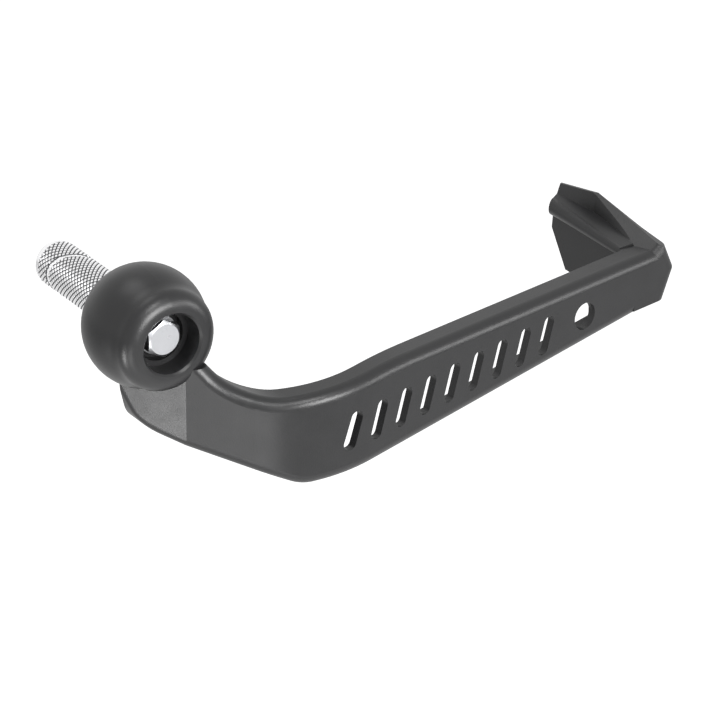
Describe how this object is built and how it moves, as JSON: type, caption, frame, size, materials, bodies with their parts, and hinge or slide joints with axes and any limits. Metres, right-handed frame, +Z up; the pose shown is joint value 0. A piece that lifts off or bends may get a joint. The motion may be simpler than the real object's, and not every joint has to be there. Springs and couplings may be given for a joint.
{
  "type": "brake lever guard",
  "caption": "Handlebar-end brake lever guard: black moulded ball end, pierced channel arm and tip wing, held by a hex bolt that draws up a knurled wedge expander",
  "frame": {"origin": "middle of the ball end's flat back face, on the axis of the handlebar", "axes": "+X runs out along the handlebar away from the grip, +Y is forward along the arm, +Z is up"},
  "size_m": [0.0862, 0.1944, 0.0635],
  "materials": {
    "black_nylon": "satin glass-filled nylon moulding",
    "stainless_steel": "satin stainless steel",
    "knurled_aluminium": "bright aluminium, diamond knurled"
  },
  "bodies": {
    "guard": {"guard_body": "black_nylon", "washer": "stainless_steel", "expander_sleeve": "knurled_aluminium"},
    "bolt": {"hex_bolt": "stainless_steel"},
    "wedge": {"expander_wedge": "knurled_aluminium"}
  },
  "joints": [
    {"name": "bolt_turn", "type": "hinge", "parent": "guard", "child": "bolt", "pos_m": [0.02, 0, 0], "axis": [1, 0, 0], "range_deg": [0, 720]},
    {"name": "wedge_slide", "type": "slide", "parent": "guard", "child": "wedge", "axis": [-1, 0, 0], "range_m": [0, 0.002]}
  ],
  "couplings": [
    {"joint": "wedge_slide", "follows": "bolt_turn", "m_per_rad": 0.00015915}
  ]
}
